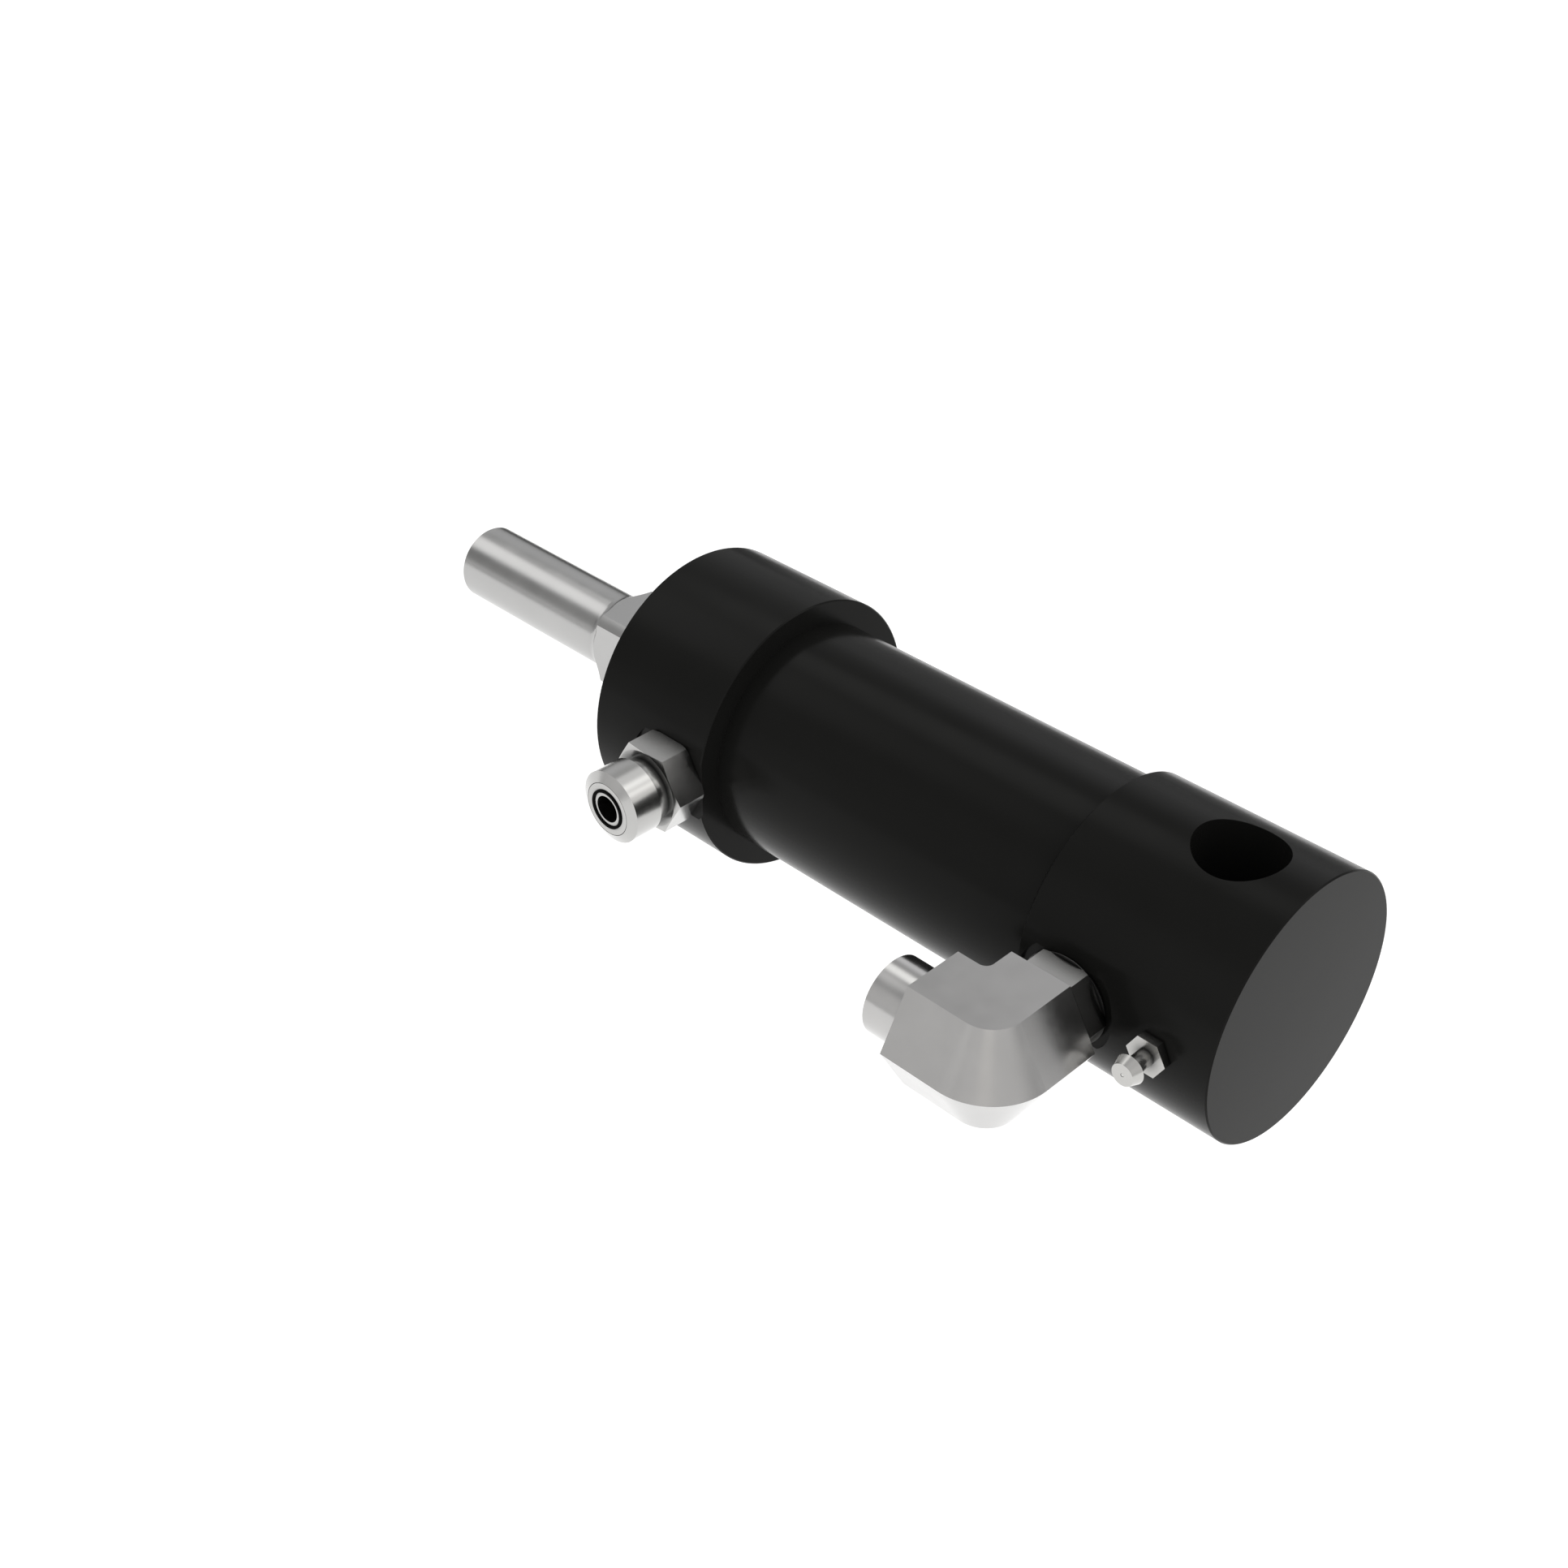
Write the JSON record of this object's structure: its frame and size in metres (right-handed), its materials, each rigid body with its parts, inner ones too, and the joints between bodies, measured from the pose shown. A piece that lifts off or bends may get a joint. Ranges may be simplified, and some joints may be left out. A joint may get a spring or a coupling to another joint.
{
  "type": "hydraulic cylinder",
  "caption": "Short double-acting welded hydraulic cylinder: a sliding rod with plain stub end and wrench flats, base pin bore, face-seal hose fittings and a grease fitting.",
  "frame": {"origin": "centre of the base pin bore, on the cylinder's axis", "axes": "+X along the cylinder's axis away from the rod, so the rod extends towards -X; +Z along the pin bore; both ports face -Y"},
  "size_m": [0.2507, 0.1003, 0.0664],
  "materials": {
    "barrel_paint": "gloss black enamel",
    "cap_paint": "gloss black enamel",
    "weld_paint": "gloss black enamel over a weld bead",
    "collar_paint": "gloss black enamel",
    "guide_steel": "turned steel, black oxide",
    "guide_o_ring_rubber": "nitrile rubber",
    "backup_ring_plastic": "matt nylon",
    "wiper_polyurethane": "blue polyurethane",
    "rod_seal_polyurethane": "green polyurethane",
    "bearing_band": "woven phenolic",
    "rod_chrome": "satin hard chrome",
    "piston_iron": "turned iron",
    "wear_band": "woven phenolic",
    "piston_seal_plastic": "bronze-filled plastic",
    "energizer_rubber": "nitrile rubber",
    "bore_o_ring_rubber": "nitrile rubber",
    "nut_steel": "zinc-plated steel",
    "adapter_plating": "bright zinc-nickel plating",
    "adapter_port_rubber": "nitrile rubber",
    "adapter_face_rubber": "nitrile rubber",
    "elbow_plating": "satin zinc-nickel plating on a forging",
    "locknut_plating": "bright zinc-nickel plating",
    "washer_plating": "bright zinc plating",
    "elbow_port_rubber": "nitrile rubber",
    "elbow_face_rubber": "nitrile rubber",
    "grease_plating": "bright zinc plating",
    "ball_steel": "polished steel",
    "spring_steel": "drawn spring wire"
  },
  "bodies": {
    "barrel": {"barrel_tube": "barrel_paint", "base_cap": "cap_paint", "base_weld": "weld_paint", "head_collar": "collar_paint", "rod_guide": "guide_steel", "guide_o_ring": "guide_o_ring_rubber", "guide_backup_ring": "backup_ring_plastic", "rod_wiper": "wiper_polyurethane", "rod_seal": "rod_seal_polyurethane", "rod_bearing": "bearing_band", "straight_adapter": "adapter_plating", "adapter_port_o_ring": "adapter_port_rubber", "adapter_face_seal": "adapter_face_rubber", "elbow": "elbow_plating", "elbow_locknut": "locknut_plating", "elbow_backup_washer": "washer_plating", "elbow_port_o_ring": "elbow_port_rubber", "elbow_face_seal": "elbow_face_rubber", "grease_fitting": "grease_plating", "grease_check_spring": "spring_steel"},
    "piston_rings": {"piston_wear_bands": "wear_band", "piston_seal": "piston_seal_plastic", "piston_seal_energizer": "energizer_rubber"},
    "rod": {"piston_rod": "rod_chrome", "piston": "piston_iron", "piston_bore_o_ring": "bore_o_ring_rubber", "piston_nut": "nut_steel"},
    "check_ball": {"grease_check_ball": "ball_steel"}
  },
  "joints": [
    {"name": "rod_slide", "type": "slide", "parent": "barrel", "child": "piston_rings", "axis": [-1, 0, 0], "range_m": [0, 0.05715]},
    {"name": "rod_turn", "type": "hinge", "parent": "piston_rings", "child": "rod", "pos_m": [-0.0515, 0, 0], "axis": [-1, 0, 0], "continuous": true},
    {"name": "grease_ball_lift", "type": "slide", "parent": "barrel", "child": "check_ball", "axis": [0, 1, 0], "range_m": [0, 0.0006], "stiffness_N_per_m": 400, "springref_m": -0.001, "deforming": ["grease_check_spring"]}
  ]
}
